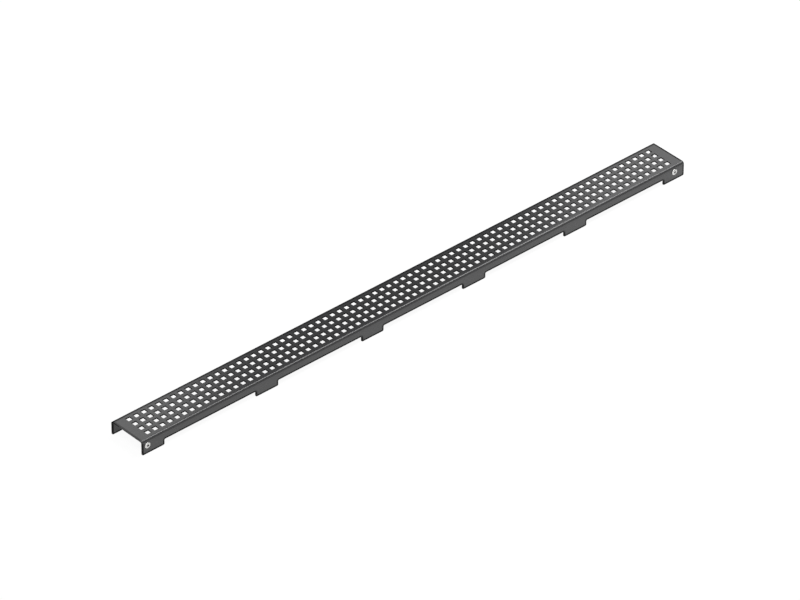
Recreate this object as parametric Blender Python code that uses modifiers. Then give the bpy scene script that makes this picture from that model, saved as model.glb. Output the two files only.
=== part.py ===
"""Channel drain grate: one folded perforated sheet that stands on feet along both lips,
with a button head screw and its nut near each end of the deep front lip.

The length runs along X, the width along Y with the deep lip at -Y, and the feet stand on z = 0.
"""
import math

import bmesh
import bpy
from mathutils import Matrix, Vector

MM = 0.001

# The folded sheet, with its depths measured down from the walking surface
LENGTH = 772 * MM
WIDTH = 50 * MM
SHEET = 1.5 * MM
INNER_BEND_RADIUS = 1.5 * MM
FOOT_DEPTH = 17.5 * MM
FRONT_LIP_DEPTH = 10.7 * MM
BACK_LIP_DEPTH = 6 * MM

# Square holes in straight rows, as many as leave these lands to the ends and the sides
HOLE_PITCH = 10 * MM
HOLE_SIDE = 6 * MM
END_LAND = 12.5 * MM
SIDE_LAND = 6.5 * MM

# Feet: the end feet by width, and those between them by centre from the left end and width.
# The back lip has end feet alone and a narrow one on the right, so that no hole in the top has
# a foot right behind it in the view from the front left.
FRONT_END_FEET = (30 * MM, 30.8 * MM)
FRONT_FEET = (
    (170.2 * MM, 30.8 * MM),
    (317.7 * MM, 30.8 * MM),
    (462.4 * MM, 32.8 * MM),
    (610 * MM, 33 * MM),
)
BACK_END_FEET = (14 * MM, 3.5 * MM)
LEAST_GAP = 12 * MM
CORNER_RADIUS = 1.5 * MM

# Screws through the front lip, placed from the ends and from the walking surface
SCREW_FROM_LEFT = 6.9 * MM
SCREW_FROM_RIGHT = 14.6 * MM
SCREW_BELOW_TOP = 6.9 * MM
SHANK_DIAMETER = 4 * MM
SHANK_LENGTH = 8 * MM
HEAD_DIAMETER = 7.2 * MM
HEAD_HEIGHT = 1.5 * MM
HEAD_RIM = 0.5 * MM
HEAD_CROWN_DIAMETER = 4.4 * MM
SOCKET_ACROSS_FLATS = 2.5 * MM
SOCKET_DEPTH = 1.2 * MM
NUT_ACROSS_FLATS = 7 * MM
NUT_HEIGHT = 3.2 * MM
NUT_CHAMFER = 0.4 * MM
CLEARANCE = 0.3 * MM

# Fineness of round forms, and how far a cutter reaches past what it cuts
BEND_SEGMENTS = 5
CORNER_SEGMENTS = 3
DOME_SEGMENTS = 5
DOME_SPREAD = math.radians(65)
ROUND_SEGMENTS = 32
REACH = 5 * MM
WELD = 0.01 * MM


def clear_scene():
    for item in list(bpy.data.objects):
        bpy.data.objects.remove(item, do_unlink=True)


def new_collection(name):
    collection = bpy.data.collections.new(name)
    bpy.context.scene.collection.children.link(collection)
    return collection


def principled(name, colour, roughness, metallic):
    material = bpy.data.materials.new(name)
    material.use_nodes = True
    shader = material.node_tree.nodes["Principled BSDF"]
    shader.inputs["Base Color"].default_value = (*colour, 1)
    shader.inputs["Roughness"].default_value = roughness
    shader.inputs["Metallic"].default_value = metallic
    return material


def mesh_object(name, bm, collection, material=None):
    mesh = bpy.data.meshes.new(name)
    bm.to_mesh(mesh)
    bm.free()
    if material:
        mesh.materials.append(material)
    item = bpy.data.objects.new(name, mesh)
    collection.objects.link(item)
    return item


def cutter_object(name, bm, collection):
    cutter = mesh_object(name, bm, collection)
    cutter.display_type = "WIRE"
    cutter.hide_render = True
    return cutter


def combine(item, tool, operation):
    modifier = item.modifiers.new(tool.name, "BOOLEAN")
    modifier.operation = operation
    modifier.solver = "EXACT"
    modifier.object = tool


def prism(sides, diameter, depth, matrix):
    """A prism or cylinder along its own Z, with the given diameter across its corners."""
    bm = bmesh.new()
    bmesh.ops.create_cone(
        bm, cap_ends=True, segments=sides, radius1=diameter / 2, radius2=diameter / 2,
        depth=depth, matrix=matrix,
    )
    return bm


def hexagon(across_flats, depth, matrix):
    """A hexagonal prism along its own Z, with two flats facing along its Y."""
    across_corners = across_flats / math.cos(math.radians(30))
    turn = Matrix.Rotation(math.radians(30), 4, "Z")
    return prism(6, across_corners, depth, matrix @ turn)


def turned(name, profile, collection, material):
    """A solid of revolution about Z from (radius, height) points, outer side top to bottom."""
    bm = bmesh.new()
    verts = [bm.verts.new((radius, 0, height)) for radius, height in profile]
    for upper, lower in zip(verts, verts[1:]):
        bm.edges.new((upper, lower))
    item = mesh_object(name, bm, collection, material)
    screw = item.modifiers.new("turn", "SCREW")
    screw.steps = ROUND_SEGMENTS
    screw.render_steps = ROUND_SEGMENTS
    screw.use_merge_vertices = True
    screw.merge_threshold = WELD
    return item


def foot_spans(end_feet, feet=()):
    """Start and end of each foot along X, keeping the feet that fit between the end feet."""
    left = -LENGTH / 2
    right = LENGTH / 2
    first, last = end_feet
    spans = [(left, left + first)]
    for centre, width in feet:
        start = left + centre - width / 2
        end = start + width
        if start > spans[-1][1] + LEAST_GAP and end < right - last - LEAST_GAP:
            spans.append((start, end))
    spans.append((right - last, right))
    return spans


def lower_edge(spans, lip_depth):
    """Corners of a lip's lower edge from left to right, down and up around each foot."""
    lip = FOOT_DEPTH - lip_depth
    corners = []
    for start, end in spans:
        corners += [(start, lip), (start, 0), (end, 0), (end, lip)]
    return corners[1:-1]


def centre_line():
    """Y of the sheet's middle, which keeps the heads and the back lip equally far out."""
    return (HEAD_HEIGHT + CLEARANCE) / 2


def lip_outline(bm, side, corners):
    """Fill a lip's outline in its own plane, round its lower corners and return its fold."""
    y = centre_line() + side * WIDTH / 2
    points = [(end * LENGTH / 2, FOOT_DEPTH) for end in (1, -1)] + corners
    verts = [bm.verts.new((x, y, z)) for x, z in points]
    edges = [bm.edges.new(pair) for pair in zip(verts, verts[1:] + verts[:1])]
    bmesh.ops.contextual_create(bm, geom=edges)
    bmesh.ops.bevel(
        bm, geom=verts[2:], offset=CORNER_RADIUS, offset_type="OFFSET",
        segments=CORNER_SEGMENTS, profile=0.5, affect="VERTICES",
    )
    return bm.edges.get(verts[:2])


def folded_surface():
    """Outer surface of the sheet: the top with a lip folded down from each long side."""
    front = lower_edge(foot_spans(FRONT_END_FEET, FRONT_FEET), FRONT_LIP_DEPTH)
    back = lower_edge(foot_spans(BACK_END_FEET), BACK_LIP_DEPTH)
    bm = bmesh.new()
    folds = [lip_outline(bm, side, corners) for side, corners in ((-1, front), (1, back))]
    top = bmesh.ops.bridge_loops(bm, edges=folds)["faces"][0]
    bmesh.ops.recalc_face_normals(bm, faces=bm.faces)
    if top.normal.z < 0:
        bmesh.ops.reverse_faces(bm, faces=bm.faces)
    bmesh.ops.bevel(
        bm, geom=folds, offset=INNER_BEND_RADIUS + SHEET, offset_type="OFFSET",
        segments=BEND_SEGMENTS, profile=0.5, affect="EDGES",
    )
    return bm


def hole_count(span, land):
    """Holes in a row that leave at least the given land beyond the outer ones."""
    return int((span - 2 * land - HOLE_SIDE) / HOLE_PITCH) + 1


def hole_punches(collection):
    """One square punch through the top, repeated along and across it."""
    rows = (hole_count(LENGTH, END_LAND), hole_count(WIDTH, SIDE_LAND))
    x, y = [-(count - 1) / 2 * HOLE_PITCH for count in rows]
    bm = bmesh.new()
    bmesh.ops.create_cube(bm, size=1)
    bmesh.ops.scale(bm, vec=(HOLE_SIDE, HOLE_SIDE, SHEET + 2 * REACH), verts=bm.verts)
    centre = (x, centre_line() + y, FOOT_DEPTH - SHEET / 2)
    bmesh.ops.translate(bm, vec=centre, verts=bm.verts)
    punches = cutter_object("hole_punches", bm, collection)
    for axis, count in enumerate(rows):
        row = punches.modifiers.new("XY"[axis], "ARRAY")
        row.count = count
        row.use_relative_offset = False
        row.use_constant_offset = True
        step = Vector((0, 0, 0))
        step[axis] = HOLE_PITCH
        row.constant_offset_displace = step
    return punches


def screw_places():
    """Each screw's name and the point where its axis meets the lip's outer face."""
    y = centre_line() - WIDTH / 2
    height = FOOT_DEPTH - SCREW_BELOW_TOP
    return (
        ("left", Vector((-LENGTH / 2 + SCREW_FROM_LEFT, y, height))),
        ("right", Vector((LENGTH / 2 - SCREW_FROM_RIGHT, y, height))),
    )


def outward():
    """Turn that points a piece's own Z out of the front lip."""
    return Matrix.Rotation(math.radians(90), 4, "X")


def grate(parts, cutters, material):
    sheet = mesh_object("grate", folded_surface(), parts, material)
    wall = sheet.modifiers.new("sheet", "SOLIDIFY")
    wall.thickness = SHEET
    wall.offset = -1
    wall.use_even_offset = True
    combine(sheet, hole_punches(cutters), "DIFFERENCE")
    for name, place in screw_places():
        through = prism(
            ROUND_SEGMENTS, SHANK_DIAMETER + 2 * CLEARANCE, 2 * REACH,
            Matrix.Translation(place) @ outward(),
        )
        combine(sheet, cutter_object(f"bore_{name}", through, cutters), "DIFFERENCE")
    return sheet


def button_screw(name, place, parts, cutters, material):
    """A domed head with a hexagon socket on a plain shank."""
    crown = HEAD_CROWN_DIAMETER / 2
    head = HEAD_DIAMETER / 2
    shank = SHANK_DIAMETER / 2
    profile = [(0, HEAD_HEIGHT)]
    for step in range(DOME_SEGMENTS + 1):
        angle = DOME_SPREAD * step / DOME_SEGMENTS
        out = math.sin(angle) / math.sin(DOME_SPREAD)
        down = (1 - math.cos(angle)) / (1 - math.cos(DOME_SPREAD))
        radius = crown + (head - crown) * out
        profile.append((radius, HEAD_HEIGHT - (HEAD_HEIGHT - HEAD_RIM) * down))
    profile += [(head, 0), (shank, 0), (shank, -SHANK_LENGTH), (0, -SHANK_LENGTH)]
    screw = turned(f"screw_{name}", profile, parts, material)
    socket = hexagon(
        SOCKET_ACROSS_FLATS, 2 * SOCKET_DEPTH, Matrix.Translation((0, 0, HEAD_HEIGHT)),
    )
    cutter = cutter_object(f"socket_{name}", socket, cutters)
    combine(screw, cutter, "DIFFERENCE")
    seat = Matrix.Translation(place - Vector((0, CLEARANCE, 0))) @ outward()
    screw.matrix_world = seat
    cutter.matrix_world = seat
    return screw


def nut(name, place, parts, cutters, material):
    """A hexagon nut with chamfered corners, seated on the inner face of the lip."""
    corner = NUT_ACROSS_FLATS / 2 / math.cos(math.radians(30))
    face = corner - NUT_CHAMFER / math.tan(math.radians(30))
    half = NUT_HEIGHT / 2
    wide = corner + NUT_CHAMFER
    slope = (wide - face) * math.tan(math.radians(30))
    profile = [
        (0, half), (face, half), (wide, half - slope),
        (wide, slope - half), (face, -half), (0, -half),
    ]
    body = turned(f"nut_{name}", profile, parts, material)
    flats = hexagon(NUT_ACROSS_FLATS, NUT_HEIGHT + 2 * REACH, Matrix())
    bore = prism(
        ROUND_SEGMENTS, SHANK_DIAMETER + 2 * CLEARANCE, NUT_HEIGHT + 2 * REACH, Matrix(),
    )
    inside = place + Vector((0, SHEET + CLEARANCE + half, 0))
    seat = Matrix.Translation(inside) @ outward()
    for label, bm, operation in (("flats", flats, "INTERSECT"), ("bore", bore, "DIFFERENCE")):
        cutter = cutter_object(f"nut_{label}_{name}", bm, cutters)
        cutter.matrix_world = seat
        combine(body, cutter, operation)
    body.matrix_world = seat
    return body


def build():
    clear_scene()
    parts = new_collection("channel_drain_grate")
    cutters = new_collection("cutters")
    coated = principled("black_coated_steel", (0.03, 0.03, 0.031), 0.45, 0)
    stainless = principled("stainless_steel", (0.55, 0.54, 0.52), 0.3, 1)
    pieces = [grate(parts, cutters, coated)]
    for name, place in screw_places():
        pieces.append(button_screw(name, place, parts, cutters, stainless))
        pieces.append(nut(name, place, parts, cutters, stainless))
    for piece in pieces:
        piece.data.shade_smooth()
        piece.data.set_sharp_from_angle(angle=math.radians(30))


build()
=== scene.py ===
import math

import bmesh
import bpy
from bpy.props import FloatProperty, FloatVectorProperty, IntProperty, PointerProperty
from mathutils import Matrix, Vector
from mathutils.geometry import intersect_point_line


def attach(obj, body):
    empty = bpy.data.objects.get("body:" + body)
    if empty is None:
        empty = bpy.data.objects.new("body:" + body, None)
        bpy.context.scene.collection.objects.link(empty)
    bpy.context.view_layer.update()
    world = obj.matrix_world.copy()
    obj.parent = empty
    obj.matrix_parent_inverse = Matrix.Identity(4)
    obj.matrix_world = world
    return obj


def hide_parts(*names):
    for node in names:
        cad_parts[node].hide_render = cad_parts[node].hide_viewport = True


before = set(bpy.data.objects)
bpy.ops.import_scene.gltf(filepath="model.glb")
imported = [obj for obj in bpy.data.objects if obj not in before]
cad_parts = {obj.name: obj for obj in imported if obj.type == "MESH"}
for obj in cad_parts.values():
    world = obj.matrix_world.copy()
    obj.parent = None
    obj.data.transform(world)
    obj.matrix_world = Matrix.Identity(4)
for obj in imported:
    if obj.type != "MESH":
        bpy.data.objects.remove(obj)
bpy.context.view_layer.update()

bl_info = {
    "name": "Channel Drain Grate",
    "version": (1, 0, 0),
    "blender": (4, 5, 0),
    "location": "3D View > Sidebar > Grate",
    "description": "Dresses a folded and punched drain grate, its screws and its studio",
    "category": "Object",
}

MM = 0.001
# Points nearer than these lie in one plane, or are one point
TOUCH = 0.01 * MM
MERGE = 0.001 * MM

# Feet of the front lip between its end feet, as start and end along X in millimetres
MIDDLE_FEET = ((-231.2, -200.4), (-83.7, -52.9), (60, 92.8), (207.5, 240.5))

# Soft lights: place of the middle in metres, turn in degrees, and size in metres
FRONT_BOX = ((-0.9, -1.6, 0.65), (70, 0, -20), (2.0, 1.0))
RIGHT_CARD = ((1.35, -1.9, 1.1), (65, 0, 35), (2.0, 1.4))
HIGH_STRIP = ((1.35, -0.15, 2.5), (0, 0, 0), (2.0, 0.9))

# Level panels: a point of the inner edge, its heading in degrees, size, and side of the edge
LEFT_PANEL = ((-0.026, 0.315), 54.6, (0.7, 0.35), -1)
RIGHT_PANEL = ((0.535, 0.315), 42, (0.9, 0.35), 1)
PANEL_HEIGHT = 0.32

# Size of the floor, and middle and size of the dark card behind the grate, in metres
FLOOR = (16, 16)
BACK_FLAG = ((1, 2.03), (6, 4))


def linear(code):
    """A colour written as an sRGB hex code, turned to linear values."""
    parts = [int(code[i:i + 2], 16) / 255 for i in (1, 3, 5)]
    return [c / 12.92 if c <= 0.04045 else ((c + 0.055) / 1.055) ** 2.4 for c in parts]


def node(tree, kind, settings=None, inputs=None):
    """Add a node, set its own settings, and set or link its input sockets."""
    new = tree.nodes.new(kind)
    for name, value in (settings or {}).items():
        setattr(new, name, value)
    for name, value in (inputs or {}).items():
        if isinstance(value, bpy.types.NodeSocket):
            tree.links.new(value, new.inputs[name])
        else:
            new.inputs[name].default_value = value
    return new


def new_material(name):
    """An empty material, ready for its nodes."""
    material = bpy.data.materials.new(name)
    material.use_nodes = True
    material.node_tree.nodes.clear()
    return material


class SheetSizes(bpy.types.PropertyGroup):
    """Sizes of the folded and punched sheet."""

    length: FloatProperty(
        name="Length", description="Length of the grate along X",
        default=772 * MM, min=0.1, unit="LENGTH",
    )
    width: FloatProperty(
        name="Width", description="Width over both folded lips",
        default=50 * MM, min=0.02, unit="LENGTH",
    )
    thickness: FloatProperty(
        name="Sheet", description="Thickness of the steel sheet",
        default=1.5 * MM, min=0.0005, unit="LENGTH",
    )
    height: FloatProperty(
        name="Height", description="Walking surface above the floor under the feet",
        default=17.5 * MM, min=0.005, unit="LENGTH",
    )
    bend: FloatProperty(
        name="Bend radius", description="Outer radius of the two folds",
        default=3 * MM, min=0.001, unit="LENGTH",
    )
    front_lip: FloatProperty(
        name="Front lip", description="Depth of the lip that carries the screws",
        default=10.7 * MM, min=0.004, unit="LENGTH",
    )
    back_lip: FloatProperty(
        name="Back lip", description="Depth of the plain lip",
        default=6 * MM, min=0.004, unit="LENGTH",
    )
    front_left_foot: FloatProperty(
        name="Front left foot", description="Width of the front lip's foot at the left end",
        default=30 * MM, min=0.003, unit="LENGTH",
    )
    front_right_foot: FloatProperty(
        name="Front right foot", description="Width of the front lip's foot at the right end",
        default=30.8 * MM, min=0.003, unit="LENGTH",
    )
    back_left_foot: FloatProperty(
        name="Back left foot", description="Width of the back lip's foot at the left end",
        default=14 * MM, min=0.003, unit="LENGTH",
    )
    back_right_foot: FloatProperty(
        name="Back right foot", description="Width of the back lip's foot at the right end",
        default=3.5 * MM, min=0.003, unit="LENGTH",
    )
    corner: FloatProperty(
        name="Foot corner", description="Radius of the feet's corners and of their roots",
        default=1.5 * MM, min=0.0001, unit="LENGTH",
    )
    centre: FloatProperty(
        name="Centre line", description="Y of the sheet's middle in the part's frame",
        default=0.9 * MM, unit="LENGTH",
    )
    columns: IntProperty(
        name="Columns", description="Holes in a row along the grate", default=75, min=1,
    )
    rows: IntProperty(
        name="Rows", description="Rows of holes across the grate", default=4, min=1,
    )
    pitch: FloatProperty(
        name="Hole pitch", description="Distance from one hole to the next",
        default=10 * MM, min=0.002, unit="LENGTH",
    )
    hole: FloatProperty(
        name="Hole side", description="Side of one square hole, narrowed a little by the coat",
        default=5.7 * MM, min=0.001, unit="LENGTH",
    )
    hole_corner: FloatProperty(
        name="Hole corner", description="Radius of the punch at the hole's corners",
        default=0.4 * MM, min=0.0001, unit="LENGTH",
    )
    rim: FloatProperty(
        name="Edge rounding", description="Width of the rounding that the coat leaves on edges",
        default=0.5 * MM, min=0.00001, unit="LENGTH",
    )
    # Painted shade: the next four sizes set a dark band along the holes, the ends and the lips,
    # which stands in for the shade of their outlines
    hole_shade_band: FloatProperty(
        name="Bare rim", description="Strip of thin coat round each hole",
        default=0.7 * MM, min=0, unit="LENGTH",
    )
    hole_shade_fade: FloatProperty(
        name="Rim fade", description="Width over which the coat thins towards a hole",
        default=0.6 * MM, min=0, unit="LENGTH",
    )
    edge_shade_band: FloatProperty(
        name="Bare edge", description="Strip of thin coat along the ends and the lips",
        default=1.6 * MM, min=0, unit="LENGTH",
    )
    edge_shade_fade: FloatProperty(
        name="Edge fade", description="Width over which the coat thins towards these edges",
        default=0.7 * MM, min=0, unit="LENGTH",
    )
    # Painted shade: share of the dark edge band that is kept on the left end
    left_end_shade: FloatProperty(
        name="Left end", description="Share of the thinning on the left end, which is deburred",
        default=0.5, min=0, max=1,
    )
    # Painted shade: share of dark shading laid on the top of the back bend, for the dark line along
    # it
    back_bend_shade: FloatProperty(
        name="Bend wear", description="How far the coat is rubbed thin on the back bend",
        default=0.9, min=0, max=1,
    )


class ScrewSizes(bpy.types.PropertyGroup):
    """Sizes of the button head screws."""

    from_left: FloatProperty(
        name="From left end", description="Left screw's axis from the left end",
        default=6.9 * MM, unit="LENGTH",
    )
    from_right: FloatProperty(
        name="From right end", description="Right screw's axis from the right end",
        default=14.6 * MM, unit="LENGTH",
    )
    below_top: FloatProperty(
        name="Below top", description="Axes below the walking surface",
        default=6.9 * MM, unit="LENGTH",
    )
    head: FloatProperty(
        name="Head diameter", description="Diameter of the button head",
        default=7.2 * MM, unit="LENGTH",
    )
    head_height: FloatProperty(
        name="Head height", description="Height of the button head",
        default=1 * MM, unit="LENGTH",
    )
    crown: FloatProperty(
        name="Crown diameter", description="Flat round the socket",
        default=4.8 * MM, unit="LENGTH",
    )
    head_rim: FloatProperty(
        name="Head rim", description="Straight side under the dome",
        default=0.35 * MM, unit="LENGTH",
    )
    socket: FloatProperty(
        name="Socket", description="Hexagon socket across its flats",
        default=2.5 * MM, unit="LENGTH",
    )
    socket_depth: FloatProperty(
        name="Socket depth", description="Depth of the hexagon socket",
        default=0.6 * MM, unit="LENGTH",
    )
    drill_point: FloatProperty(
        name="Drill point", description="Depth of the cone under the socket",
        default=0.4 * MM, unit="LENGTH",
    )
    shank: FloatProperty(
        name="Shank diameter", description="Outer diameter of the thread",
        default=4 * MM, unit="LENGTH",
    )
    shank_length: FloatProperty(
        name="Shank length", description="Length under the head",
        default=8 * MM, unit="LENGTH",
    )
    thread_pitch: FloatProperty(
        name="Thread pitch", description="Distance between the thread's crests",
        default=0.7 * MM, unit="LENGTH",
    )
    bore: FloatProperty(
        name="Bore", description="Diameter of the hole in the lip, under the head",
        default=4.6 * MM, unit="LENGTH",
    )
    stand_off: FloatProperty(
        name="Stand-off", description="Gap under the head",
        default=0.3 * MM, unit="LENGTH",
    )
    rim: FloatProperty(
        name="Edge rounding", description="Width of the rounding on the screw's edges",
        default=0.06 * MM, unit="LENGTH",
    )


class Finishes(bpy.types.PropertyGroup):
    """Colours of the finishes."""

    coat: FloatVectorProperty(
        name="Coat", description="Colour of the powder coat", subtype="COLOR",
        size=3, min=0, max=1, default=linear("#202021"),
    )
    # The edge colour is painted shade: the dark of the cut edges' outlines, laid into the coat's
    # colour
    edge: FloatVectorProperty(
        name="Edge", description="Colour of the thin coat along cut edges", subtype="COLOR",
        size=3, min=0, max=1, default=linear("#0a0a0a"),
    )
    steel: FloatVectorProperty(
        name="Stainless steel", description="Colour of the screws and nuts", subtype="COLOR",
        size=3, min=0, max=1, default=linear("#ccccca"),
    )
    floor: FloatVectorProperty(
        name="Floor", description="Colour of the studio floor", subtype="COLOR",
        size=3, min=0, max=1, default=linear("#f2f2f2"),
    )
    felt: FloatVectorProperty(
        name="Felt", description="Colour of the dark card behind the grate", subtype="COLOR",
        size=3, min=0, max=1, default=linear("#101010"),
    )


def powder_coat(finishes):
    """Satin black polyester powder coat, sprayed on steel sheet and baked.

    It gives the eye a dark neutral surface with a soft sheen, faintly uneven where the
    powder flowed together. Along the cut edges a dark, dull line of painted shade stands in
    for the shade of the outlines.
    """
    material = new_material("satin_black_powder_coat")
    tree = material.node_tree
    place = node(tree, "ShaderNodeTexCoord").outputs["Object"]
    # Orange peel of the melted powder, about 0.8 mm from crest to crest
    peel = node(tree, "ShaderNodeTexNoise", inputs={
        "Vector": place, "Scale": 1 / (0.8 * MM), "Detail": 2, "Roughness": 0.5,
    })
    # Broad drift in the coat's sheen, over about 40 mm
    drift = node(tree, "ShaderNodeTexNoise", inputs={
        "Vector": place, "Scale": 1 / (40 * MM), "Detail": 3, "Roughness": 0.5,
    })
    sheen = node(tree, "ShaderNodeMapRange", inputs={
        "Value": drift.outputs["Fac"], "From Min": 0.3, "From Max": 0.7,
        "To Min": 0.27, "To Max": 0.33,
    })
    # Painted shade along the cut edges: 1 on the edges, 0 on the open faces. It darkens the colour,
    # roughens the coat and takes its gloss away
    shaded = node(tree, "ShaderNodeAttribute", {"attribute_name": "painted_edge_shade"}).outputs["Fac"]
    colour = node(tree, "ShaderNodeMix", {"data_type": "RGBA"}, {
        0: shaded, 6: (*finishes.coat, 1), 7: (*finishes.edge, 1),
    })
    roughness = node(tree, "ShaderNodeMath", {"operation": "MULTIPLY_ADD"}, {
        0: shaded, 1: 0.25, 2: sheen.outputs["Result"],
    })
    gloss = node(tree, "ShaderNodeMath", {"operation": "SUBTRACT", "use_clamp": True}, {
        0: 1, 1: shaded,
    })
    bump = node(tree, "ShaderNodeBump", inputs={
        "Height": peel.outputs["Fac"], "Strength": 0.12, "Distance": 0.03 * MM,
    })
    shader = node(tree, "ShaderNodeBsdfPrincipled", inputs={
        "Base Color": colour.outputs[2], "Metallic": 0, "IOR": 1.2,
        "Roughness": roughness.outputs[0], "Normal": bump.outputs["Normal"],
        "Coat Weight": gloss.outputs[0], "Coat Roughness": 0.3, "Coat IOR": 1.52,
        "Coat Normal": bump.outputs["Normal"],
    })
    node(tree, "ShaderNodeOutputMaterial", inputs={"Surface": shader.outputs["BSDF"]})
    return material


def bright_stainless(finishes, name, roughness):
    """Austenitic stainless steel, cold headed and passivated.

    It gives the eye a bright, slightly soft mirror with fine handling marks.
    """
    material = new_material(name)
    tree = material.node_tree
    place = node(tree, "ShaderNodeTexCoord").outputs["Object"]
    # Tumbling marks of the finished fasteners, about 0.3 mm apart
    marks = node(tree, "ShaderNodeTexNoise", inputs={
        "Vector": place, "Scale": 1 / (0.3 * MM), "Detail": 4, "Roughness": 0.6,
    })
    gloss = node(tree, "ShaderNodeMapRange", inputs={
        "Value": marks.outputs["Fac"], "From Min": 0.3, "From Max": 0.7,
        "To Min": roughness - 0.05, "To Max": roughness + 0.07,
    })
    bump = node(tree, "ShaderNodeBump", inputs={
        "Height": marks.outputs["Fac"], "Strength": 0.1, "Distance": 0.01 * MM,
    })
    shader = node(tree, "ShaderNodeBsdfPrincipled", inputs={
        "Base Color": (*finishes.steel, 1), "Metallic": 1,
        "Roughness": gloss.outputs["Result"], "Normal": bump.outputs["Normal"],
    })
    node(tree, "ShaderNodeOutputMaterial", inputs={"Surface": shader.outputs["BSDF"]})
    return material


def piece(name, bm, material, replaced):
    """Make a finished piece of the object from a bmesh."""
    mesh = bpy.data.meshes.new(name)
    bm.to_mesh(mesh)
    bm.free()
    mesh.materials.append(material)
    item = bpy.data.objects.new(name, mesh)
    bpy.context.scene.collection.objects.link(item)
    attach(item, "root")
    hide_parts(replaced)
    return item


def round_edges(item, width, limit):
    """Round the edges sharper than a limit in degrees, and keep the flat faces flat."""
    item.data.shade_smooth()
    bevel = item.modifiers.new("rounded_edges", "BEVEL")
    bevel.width = width
    bevel.segments = 3
    bevel.limit_method = "ANGLE"
    bevel.angle_limit = math.radians(limit)
    bevel.harden_normals = True


def edges_along(bm, axis, value):
    """Edges that lie in the plane where one coordinate has the given value."""
    return [
        edge for edge in bm.edges
        if all(abs(vert.co[axis] - value) < TOUCH for vert in edge.verts)
    ]


def extend(bm, edges, step):
    """Extrude edges by a step."""
    new = bmesh.ops.extrude_edge_only(bm, edges=edges)["geom"]
    verts = [item for item in new if isinstance(item, bmesh.types.BMVert)]
    bmesh.ops.translate(bm, vec=step, verts=verts)


def punched_field(sheet):
    """The flat part of the top with its square holes, ready for the folds.

    A band of faces along each cut edge takes the painted edge shade.
    """
    bm = bmesh.new()
    bmesh.ops.create_grid(bm, x_segments=sheet.columns, y_segments=sheet.rows, size=0.5)
    span = (sheet.columns * sheet.pitch, sheet.rows * sheet.pitch)
    bmesh.ops.scale(bm, vec=(*span, 1), verts=bm.verts)
    cells = bm.faces[:]
    strip = (sheet.pitch - sheet.hole) / 2
    dark_band, dark_fade = sheet.hole_shade_band, sheet.hole_shade_fade
    for width in (strip - dark_band - dark_fade, dark_fade, dark_band):
        bmesh.ops.inset_individual(bm, faces=cells, thickness=width, use_even_offset=True)
    corners = list({vert for cell in cells for vert in cell.verts})
    bmesh.ops.bevel(
        bm, geom=corners, offset=sheet.hole_corner, offset_type="OFFSET", segments=2,
        profile=0.5, affect="VERTICES", material=-1,
    )
    # Only the slugs that the punch takes out are nearly as large as a hole
    slugs = [face for face in bm.faces if face.calc_area() > 0.8 * sheet.hole ** 2]
    bmesh.ops.delete(bm, geom=slugs, context="FACES")
    for side in (-1, 1):
        x = span[0] / 2
        land = sheet.length / 2 - x
        dark_band, dark_fade = sheet.edge_shade_band, sheet.edge_shade_fade
        for width in (land - dark_band - dark_fade, dark_fade, dark_band):
            extend(bm, edges_along(bm, 0, side * x), (side * width, 0, 0))
            x += width
    for side in (-1, 1):
        land = sheet.width / 2 - sheet.bend - span[1] / 2
        extend(bm, edges_along(bm, 1, side * span[1] / 2), (0, side * land, 0))
    bmesh.ops.translate(bm, vec=(0, 0, sheet.height), verts=bm.verts)
    shade_top_edges(bm, sheet)
    return bm


def on_lip(items, plane):
    """Faces or edges that lie flat in the lip's own plane."""
    return [
        item for item in items
        if all(abs(vert.co.y - plane) < TOUCH for vert in item.verts)
    ]


def cut_row(bm, faces, axis, value):
    """Cut faces along the plane where one coordinate has the given value."""
    normal = Vector((0, 0, 0))
    normal[axis] = 1
    geom = faces + list({item for face in faces for item in (*face.edges, *face.verts)})
    bmesh.ops.bisect_plane(
        bm, geom=geom, dist=TOUCH, plane_co=normal * value, plane_no=normal,
    )


def cut_bands(bm, sheet, plane, corners):
    """Cut rows into a lip beside each straight part of its outline, for the painted edge shade."""
    steps = (sheet.edge_shade_band, sheet.edge_shade_band + sheet.edge_shade_fade)
    rows = {(axis, round(corner[axis] + turn * step, 6))
            for corner in corners for axis in (0, 2) for turn in (-1, 1) for step in steps}
    for axis, value in sorted(rows):
        cut_row(bm, on_lip(bm.faces, plane), axis, value)


def shade_lip_outline(bm, sheet, plane, line):
    """Paint shade on a lip along its outline, fading with the distance from it."""
    shaded = bm.verts.layers.float["painted_edge_shade"]
    reach = sheet.edge_shade_band + sheet.edge_shade_fade
    for vert in bm.verts:
        if abs(vert.co.y - plane) < TOUCH:
            gaps = []
            for first, last in zip(line, line[1:]):
                share = intersect_point_line(vert.co, first, last)[1]
                gaps.append((first.lerp(last, min(max(share, 0), 1)) - vert.co).length)
            vert[shaded] = min(max((reach - min(gaps)) / sheet.edge_shade_fade, 0), 1)


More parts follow.
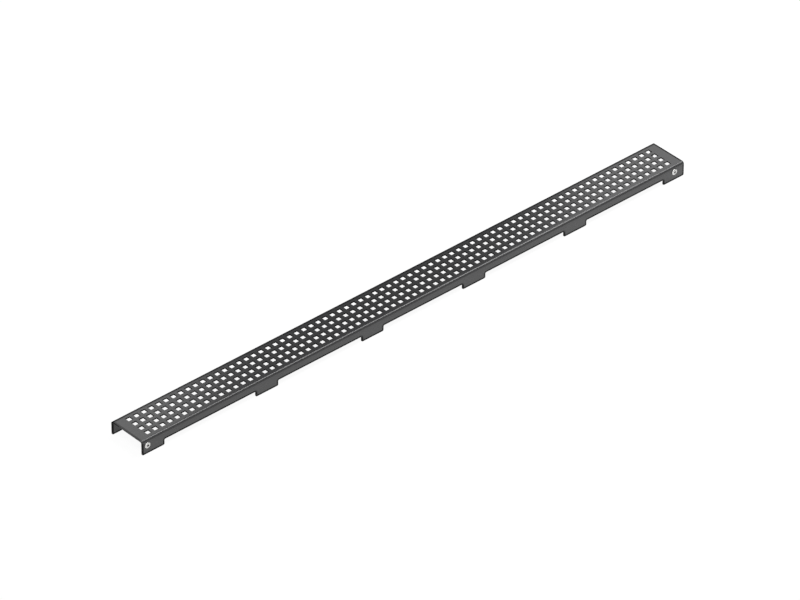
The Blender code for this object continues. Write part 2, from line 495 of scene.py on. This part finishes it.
def fold_lip(bm, sheet, side, lower):
    """Fold the sheet down along one side and close the lip's outline with its feet."""
    y = side * (sheet.width / 2 - sheet.bend)
    plane = side * sheet.width / 2
    turned = bmesh.ops.spin(
        bm, geom=edges_along(bm, 1, y), cent=(0, y, sheet.height - sheet.bend),
        axis=(1, 0, 0), angle=-side * math.pi / 2, steps=10,
    )["geom_last"]
    fold = [item for item in turned if isinstance(item, bmesh.types.BMEdge)]
    ends = sorted({vert for edge in fold for vert in edge.verts}, key=lambda vert: vert.co.x)
    corners = [bm.verts.new((x, plane, z)) for x, z in lower]
    line = [ends[0]] + corners + [ends[-1]]
    outline = [bm.edges.new(pair) for pair in zip(line, line[1:])]
    places = [vert.co.copy() for vert in line]
    bmesh.ops.contextual_create(bm, geom=fold + outline)
    bmesh.ops.bevel(
        bm, geom=corners, offset=sheet.corner, offset_type="OFFSET", segments=4,
        profile=0.5, affect="VERTICES", material=-1,
    )
    cut_bands(bm, sheet, plane, places[1:-1])
    shade_lip_outline(bm, sheet, plane, places)


def near(faces, middle, reach, axes):
    """Faces whose middle lies within reach of a point along the given axes."""
    return [
        face for face in faces
        if all(abs(face.calc_center_bounds()[axis] - middle[axis]) < reach for axis in axes)
    ]


def bore_lip(bm, middle, bore):
    """Bore a round hole through a lip: clear a square of it, and fill in round the hole."""
    shaded = bm.verts.layers.float["painted_edge_shade"]
    # Half the side of the square, which is a little wider than the bore
    reach = 0.7 * bore
    for axis, chosen in ((0, ()), (2, (0,))):
        for turn in (-1, 1):
            faces = near(on_lip(bm.faces, middle.y), middle, reach, chosen)
            cut_row(bm, faces, axis, middle[axis] + turn * reach)
    square = near(on_lip(bm.faces, middle.y), middle, reach, (0, 2))
    inner = {edge for face in square for edge in face.edges}
    rim = [edge for edge in inner if any(face not in square for face in edge.link_faces)]
    bmesh.ops.delete(bm, geom=square, context="FACES")
    seat = Matrix.Translation(middle) @ Matrix.Rotation(math.radians(90), 4, "X")
    ring = bmesh.ops.create_circle(bm, cap_ends=False, segments=32, radius=bore / 2, matrix=seat)
    # The bore's rim gets the full painted edge shade
    for vert in ring["verts"]:
        vert[shaded] = 1
    circle = list({edge for vert in ring["verts"] for edge in vert.link_edges})
    bmesh.ops.triangle_fill(bm, edges=rim + circle, use_beauty=True)


def shade_back_bend(bm, sheet):
    """Paint shade on the upper outside of the back bend, as the dark line along its far side."""
    shaded = bm.verts.layers.float["painted_edge_shade"]
    # The bend begins one radius inside the lip, and its lowest third is left without painted shade
    start = sheet.centre + sheet.width / 2 - 1.05 * sheet.bend
    lowest = sheet.height - 0.7 * sheet.bend
    for vert in bm.verts:
        if vert.co.y > start and vert.co.z > lowest:
            vert[shaded] = max(vert[shaded], sheet.back_bend_shade)


def shade_top_edges(bm, sheet):
    """Paint shade on the top: 1 beside its cut edges, and 0 elsewhere."""
    shaded = bm.verts.layers.float.new("painted_edge_shade")
    # The sides that the folds start from are still open here, and get no painted shade
    for vert in bm.verts:
        if vert.is_boundary and abs(vert.co.y) < sheet.width / 2 - 1.2 * sheet.bend:
            vert[shaded] = 1
            for edge in vert.link_edges:
                edge.other_vert(vert)[shaded] = 1
    # The painted shade is weaker at the left end
    for vert in bm.verts:
        if vert.co.x < -sheet.length / 2 + 2 * sheet.edge_shade_band:
            vert[shaded] *= sheet.left_end_shade


def lower_edge(sheet, lip, left_foot, right_foot, middle_feet=()):
    """Corners of a lip's lower edge from left to right, round each foot."""
    end = sheet.length / 2
    height = sheet.height - lip
    line = [(-end, 0), (left_foot - end, 0), (left_foot - end, height)]
    for foot in middle_feet:
        start, stop = (x * MM for x in foot)
        line += [(start, height), (start, 0), (stop, 0), (stop, height)]
    return line + [(end - right_foot, height), (end - right_foot, 0), (end, 0)]


def screw_places(sheet, screw):
    """Place of each screw along X."""
    return {
        "left": -sheet.length / 2 + screw.from_left,
        "right": sheet.length / 2 - screw.from_right,
    }


class GRATE_OT_fold_sheet(bpy.types.Operator):
    """Punch, fold and coat the sheet of the grate"""

    bl_idname = "grate.fold_sheet"
    bl_label = "Fold the sheet"

    def execute(self, context):
        sheet = context.scene.grate_sheet
        screw = context.scene.grate_screws
        bm = punched_field(sheet)
        fold_lip(bm, sheet, -1, lower_edge(
            sheet, sheet.front_lip, sheet.front_left_foot, sheet.front_right_foot, MIDDLE_FEET,
        ))
        for x in screw_places(sheet, screw).values():
            middle = Vector((x, -sheet.width / 2, sheet.height - screw.below_top))
            bore_lip(bm, middle, screw.bore)
        fold_lip(bm, sheet, 1, lower_edge(
            sheet, sheet.back_lip, sheet.back_left_foot, sheet.back_right_foot,
        ))
        bmesh.ops.translate(bm, vec=(0, sheet.centre, 0), verts=bm.verts)
        bmesh.ops.recalc_face_normals(bm, faces=bm.faces)
        # The sheet is an open surface here, so its outer side is the one that faces up on top
        top = max(bm.faces, key=lambda face: face.calc_center_median().z)
        if top.normal.z < 0:
            bmesh.ops.reverse_faces(bm, faces=bm.faces)
        shade_back_bend(bm, sheet)
        coat = powder_coat(context.scene.grate_finishes)
        item = piece("grate_sheet", bm, coat, "grate")
        wall = item.modifiers.new("sheet", "SOLIDIFY")
        wall.thickness = sheet.thickness
        wall.offset = -1
        wall.use_even_offset = True
        round_edges(item, sheet.rim, limit=50)
        return {"FINISHED"}


def thread_profile(screw):
    """Radius and height of the shank's points: a plain neck, rings of thread and the end."""
    neck = 1.2 * MM
    plain_tip = 0.6 * MM
    pitch = screw.thread_pitch
    crest = screw.shank / 2
    root = crest - 0.61 * pitch
    points = [(crest, 0), (crest, -neck)]
    for turn in range(int((screw.shank_length - neck - plain_tip) / pitch)):
        z = -neck - turn * pitch
        points += [(root, z - 0.4 * pitch), (root, z - 0.5 * pitch),
                   (crest, z - 0.9 * pitch), (crest, z - pitch)]
    return points + [(root, -screw.shank_length), (0, -screw.shank_length)]


def button_head(bm, screw, seat):
    """A domed head with a hexagon socket and a threaded shank, turned about its own Z."""
    head = screw.head / 2
    crown = screw.crown / 2
    # The dome is an arc of this spread, stretched from the flat crown to the straight rim
    spread = math.radians(65)
    steps = 8
    profile = []
    for step in range(steps + 1):
        angle = spread * step / steps
        radius = crown + (head - crown) * math.sin(angle) / math.sin(spread)
        down = (1 - math.cos(angle)) / (1 - math.cos(spread))
        profile.append((radius, screw.head_height - (screw.head_height - screw.head_rim) * down))
    profile += [(head, 0)] + thread_profile(screw)
    verts = [bm.verts.new((radius, 0, z)) for radius, z in profile]
    edges = [bm.edges.new(pair) for pair in zip(verts, verts[1:])]
    bmesh.ops.spin(
        bm, geom=verts + edges, cent=(0, 0, 0), axis=(0, 0, 1), angle=2 * math.pi, steps=48,
        use_merge=True,
    )
    bmesh.ops.remove_doubles(bm, verts=bm.verts, dist=MERGE)
    mouth = [edge for edge in bm.edges if edge.is_boundary]
    # Each side of the hexagon is cut in eight, to meet the 48 steps of the turned head
    across = screw.socket / 2 / math.cos(math.radians(30))
    top = Matrix.Translation((0, 0, screw.head_height))
    hexagon = bmesh.ops.create_circle(bm, cap_ends=False, segments=6, radius=across, matrix=top)
    ring = list({edge for vert in hexagon["verts"] for edge in vert.link_edges})
    bmesh.ops.subdivide_edges(bm, edges=ring, cuts=7)
    ring = [edge for edge in bm.edges if edge.is_wire]
    bmesh.ops.bridge_loops(bm, edges=mouth + ring)
    # The socket's walls go down from the ring, and a drill point closes it
    walls = bmesh.ops.extrude_edge_only(bm, edges=ring)["geom"]
    floor = [item for item in walls if isinstance(item, bmesh.types.BMVert)]
    bmesh.ops.translate(bm, vec=(0, 0, -screw.socket_depth), verts=floor)
    rim = [item for item in walls if isinstance(item, bmesh.types.BMEdge)]
    cone = bmesh.ops.extrude_edge_only(bm, edges=[edge for edge in rim if edge.is_boundary])["geom"]
    tip = [item for item in cone if isinstance(item, bmesh.types.BMVert)]
    bmesh.ops.scale(bm, vec=(0, 0, 1), verts=tip)
    bmesh.ops.translate(bm, vec=(0, 0, -screw.drill_point), verts=tip)
    bmesh.ops.remove_doubles(bm, verts=bm.verts, dist=MERGE)
    bmesh.ops.recalc_face_normals(bm, faces=bm.faces)
    bmesh.ops.transform(bm, matrix=seat, verts=bm.verts)


class GRATE_OT_set_screws(bpy.types.Operator):
    """Set a button head screw through the front lip near each end"""

    bl_idname = "grate.set_screws"
    bl_label = "Set the screws"

    def execute(self, context):
        sheet = context.scene.grate_sheet
        screw = context.scene.grate_screws
        steel = bright_stainless(
            context.scene.grate_finishes, "cold_headed_stainless_steel", roughness=0.32,
        )
        y = sheet.centre - sheet.width / 2 - screw.stand_off
        z = sheet.height - screw.below_top
        for side, x in screw_places(sheet, screw).items():
            seat = Matrix.Translation((x, y, z)) @ Matrix.Rotation(math.radians(90), 4, "X")
            bm = bmesh.new()
            button_head(bm, screw, seat)
            item = piece(
                f"button_screw_{side}", bm, steel, f"screw_{side}",
            )
            round_edges(item, screw.rim, limit=35)
        return {"FINISHED"}


class GRATE_OT_finish_nuts(bpy.types.Operator):
    """Give the nuts behind the front lip their finish"""

    bl_idname = "grate.finish_nuts"
    bl_label = "Finish the nuts"

    def execute(self, context):
        steel = bright_stainless(
            context.scene.grate_finishes, "tumbled_stainless_steel", roughness=0.3,
        )
        for side in ("left", "right"):
            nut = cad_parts[f"nut_{side}"]
            nut.material_slots[0].material = steel
        return {"FINISHED"}


class StudioSettings(bpy.types.PropertyGroup):
    """Light levels of the studio and the place of the camera."""

    sky: FloatProperty(
        name="Sky", description="Level of the studio's even light", default=0.26, min=0,
    )
    left_panel: FloatProperty(
        name="Left panel", description="Radiance of the panel over the left end",
        default=1.3, min=0,
    )
    right_panel: FloatProperty(
        name="Right panel", description="Radiance of the panel over the right end",
        default=1.25, min=0,
    )
    front_box: FloatProperty(
        name="Front soft box", description="Radiance of the low soft box in front",
        default=1.8, min=0,
    )
    right_card: FloatProperty(
        name="Right card", description="Radiance of the pale card in front on the right",
        default=0.45, min=0,
    )
    key: FloatProperty(
        name="Key", description="Irradiance of the broad light from above", default=1.8, min=0,
    )
    high_strip: FloatProperty(
        name="High strip", description="Radiance of the high strip that draws the fold",
        default=8.0, min=0,
    )
    mirrored_white: FloatProperty(
        name="Mirrored white", description="Share of white that reflections see in the floor",
        default=0.7, min=0, max=1,
    )
    seen_white: FloatProperty(
        name="Seen white", description="Share of white in the floor that the camera sees",
        default=0.93, min=0, max=1,
    )
    place: FloatVectorProperty(
        name="Place", description="Place of the camera", subtype="TRANSLATION",
        size=3, default=(-3.90765, -4.39152, 4.21182),
    )
    azimuth: FloatProperty(
        name="Azimuth", description="Turn of the camera about Z", subtype="ANGLE",
        default=math.radians(-41.6030555),
    )
    elevation: FloatProperty(
        name="Elevation", description="Camera's angle above the horizon", subtype="ANGLE",
        default=math.radians(35.6093804),
    )
    lens: FloatProperty(
        name="Lens", description="Focal length in millimetres on a 36 mm wide frame",
        default=304.9073, min=1,
    )


def area_light(name, place, turn, size, radiance):
    """A rectangular soft light that the camera doesn't see."""
    light = bpy.data.lights.new(name, "AREA")
    light.shape = "RECTANGLE"
    light.size, light.size_y = size
    light.energy = radiance * math.pi * size[0] * size[1]
    item = bpy.data.objects.new(name, light)
    item.location = place
    item.rotation_euler = [math.radians(angle) for angle in turn]
    item.visible_camera = False
    bpy.context.scene.collection.objects.link(item)


def overhead_panel(name, inner, heading, size, side, radiance):
    """A level panel whose inner edge runs through a point at the given heading."""
    angle = math.radians(heading)
    across = Vector((math.sin(angle), -math.cos(angle), 0)) * side
    centre = Vector((*inner, PANEL_HEIGHT)) + across * size[1] / 2
    area_light(name, centre, (0, 0, heading), size, radiance)


def overhead_key(strength):
    """A broad light from above and a little to the left and the front."""
    light = bpy.data.lights.new("key", "SUN")
    light.energy = strength
    light.angle = math.radians(25)
    item = bpy.data.objects.new("key", light)
    item.rotation_euler = (math.radians(15), math.radians(-18), 0)
    bpy.context.scene.collection.objects.link(item)


def studio_world(studio):
    """White behind the object, and an even grey sky for the light that falls on it."""
    world = bpy.data.worlds.new("studio")
    bpy.context.scene.world = world
    world.use_nodes = True
    tree = world.node_tree
    tree.nodes.clear()
    path = node(tree, "ShaderNodeLightPath")
    seen = node(tree, "ShaderNodeMath", {"operation": "MAXIMUM"}, {
        0: path.outputs["Is Camera Ray"], 1: path.outputs["Is Transmission Ray"],
    })
    level = node(tree, "ShaderNodeMapRange", inputs={
        "Value": seen.outputs[0], "To Min": studio.sky, "To Max": 1,
    })
    background = node(tree, "ShaderNodeBackground", inputs={
        "Color": (1, 1, 1, 1), "Strength": level.outputs["Result"],
    })
    node(tree, "ShaderNodeOutputWorld", inputs={"Surface": background.outputs[0]})


def level_card(name, middle, size, material):
    """A level rectangle of the stage, round a point."""
    bm = bmesh.new()
    bmesh.ops.create_grid(bm, x_segments=1, y_segments=1, size=0.5)
    bmesh.ops.scale(bm, vec=(*size, 1), verts=bm.verts)
    bmesh.ops.translate(bm, vec=middle, verts=bm.verts)
    mesh = bpy.data.meshes.new(name)
    bm.to_mesh(mesh)
    bm.free()
    mesh.materials.append(material)
    card = bpy.data.objects.new(name, mesh)
    bpy.context.scene.collection.objects.link(card)
    return card


def studio_floor(finishes, studio):
    """A pale floor that reads white where it is seen and keeps a faint shadow."""
    material = new_material("matt_painted_floor")
    tree = material.node_tree
    path = node(tree, "ShaderNodeLightPath")
    seen = node(tree, "ShaderNodeMath", {"operation": "MAXIMUM"}, {
        0: path.outputs["Is Camera Ray"], 1: path.outputs["Is Transmission Ray"],
    })
    mirrored = node(tree, "ShaderNodeMath", {"operation": "MULTIPLY"}, {
        0: path.outputs["Is Glossy Ray"], 1: studio.mirrored_white,
    })
    share = node(tree, "ShaderNodeMath", {"operation": "MULTIPLY_ADD"}, {
        0: seen.outputs[0], 1: studio.seen_white, 2: mirrored.outputs[0],
    })
    paint = node(tree, "ShaderNodeBsdfPrincipled", inputs={
        "Base Color": (*finishes.floor, 1), "Roughness": 0.9, "Specular IOR Level": 0,
    })
    white = node(tree, "ShaderNodeEmission", inputs={"Color": (1, 1, 1, 1), "Strength": 1})
    mix = node(tree, "ShaderNodeMixShader", inputs={
        0: share.outputs[0], 1: paint.outputs["BSDF"], 2: white.outputs[0],
    })
    node(tree, "ShaderNodeOutputMaterial", inputs={"Surface": mix.outputs[0]})
    floor = level_card("floor", (0, 0, 0), FLOOR, material)


def back_flag(finishes):
    """A dark card just over the floor, which only the reflections of the grate see.

    It draws the dark line along the back fold.
    """
    material = new_material("dark_felt")
    tree = material.node_tree
    felt = node(tree, "ShaderNodeBsdfDiffuse", inputs={"Color": (*finishes.felt, 1)})
    node(tree, "ShaderNodeOutputMaterial", inputs={"Surface": felt.outputs[0]})
    middle, size = BACK_FLAG
    flag = level_card("back_flag", (*middle, 0.5 * MM), size, material)
    for rays in ("camera", "diffuse", "transmission", "volume_scatter", "shadow"):
        setattr(flag, "visible_" + rays, False)


class GRATE_OT_set_stage(bpy.types.Operator):
    """Set the floor, the sky, the soft lights and the camera"""

    bl_idname = "grate.set_stage"
    bl_label = "Set the stage"

    def execute(self, context):
        scene = context.scene
        studio = scene.grate_studio
        studio_world(studio)
        studio_floor(scene.grate_finishes, studio)
        overhead_panel("left_panel", *LEFT_PANEL, studio.left_panel)
        overhead_panel("right_panel", *RIGHT_PANEL, studio.right_panel)
        area_light("front_soft_box", *FRONT_BOX, studio.front_box)
        area_light("right_card", *RIGHT_CARD, studio.right_card)
        area_light("high_strip", *HIGH_STRIP, studio.high_strip)
        overhead_key(studio.key)
        back_flag(scene.grate_finishes)
        data = bpy.data.cameras.new("camera")
        data.sensor_width = 36
        data.lens = studio.lens
        data.clip_end = 50
        camera = bpy.data.objects.new("camera", data)
        camera.location = studio.place
        camera.rotation_euler = (math.pi / 2 - studio.elevation, 0, studio.azimuth)
        scene.collection.objects.link(camera)
        scene.camera = camera
        scene.view_settings.view_transform = "Standard"
        return {"FINISHED"}


class GRATE_PT_panel(bpy.types.Panel):
    """Lists the steps that dress the grate"""

    bl_idname = "GRATE_PT_panel"
    bl_label = "Channel Drain Grate"
    bl_space_type = "VIEW_3D"
    bl_region_type = "UI"
    bl_category = "Grate"

    def draw(self, context):
        scene = context.scene
        for title, group, steps in (
            ("Sheet", scene.grate_sheet, ("grate.fold_sheet",)),
            ("Screws", scene.grate_screws, ("grate.set_screws", "grate.finish_nuts")),
            ("Finishes", scene.grate_finishes, ()),
            ("Studio", scene.grate_studio, ("grate.set_stage",)),
        ):
            box = self.layout.box()
            box.label(text=title)
            for name in group.__annotations__:
                box.prop(group, name)
            for step in steps:
                box.operator(step)


CLASSES = (
    SheetSizes, ScrewSizes, Finishes, StudioSettings, GRATE_OT_fold_sheet,
    GRATE_OT_set_screws, GRATE_OT_finish_nuts, GRATE_OT_set_stage, GRATE_PT_panel,
)


def register():
    for item in CLASSES:
        bpy.utils.register_class(item)
    bpy.types.Scene.grate_sheet = PointerProperty(type=SheetSizes)
    bpy.types.Scene.grate_screws = PointerProperty(type=ScrewSizes)
    bpy.types.Scene.grate_finishes = PointerProperty(type=Finishes)
    bpy.types.Scene.grate_studio = PointerProperty(type=StudioSettings)


def unregister():
    del bpy.types.Scene.grate_studio
    del bpy.types.Scene.grate_finishes
    del bpy.types.Scene.grate_screws
    del bpy.types.Scene.grate_sheet
    for item in reversed(CLASSES):
        bpy.utils.unregister_class(item)


def main():
    register()
    bpy.ops.grate.set_stage()
    bpy.ops.grate.fold_sheet()
    bpy.ops.grate.set_screws()
    bpy.ops.grate.finish_nuts()


if __name__ == "__main__":
    main()
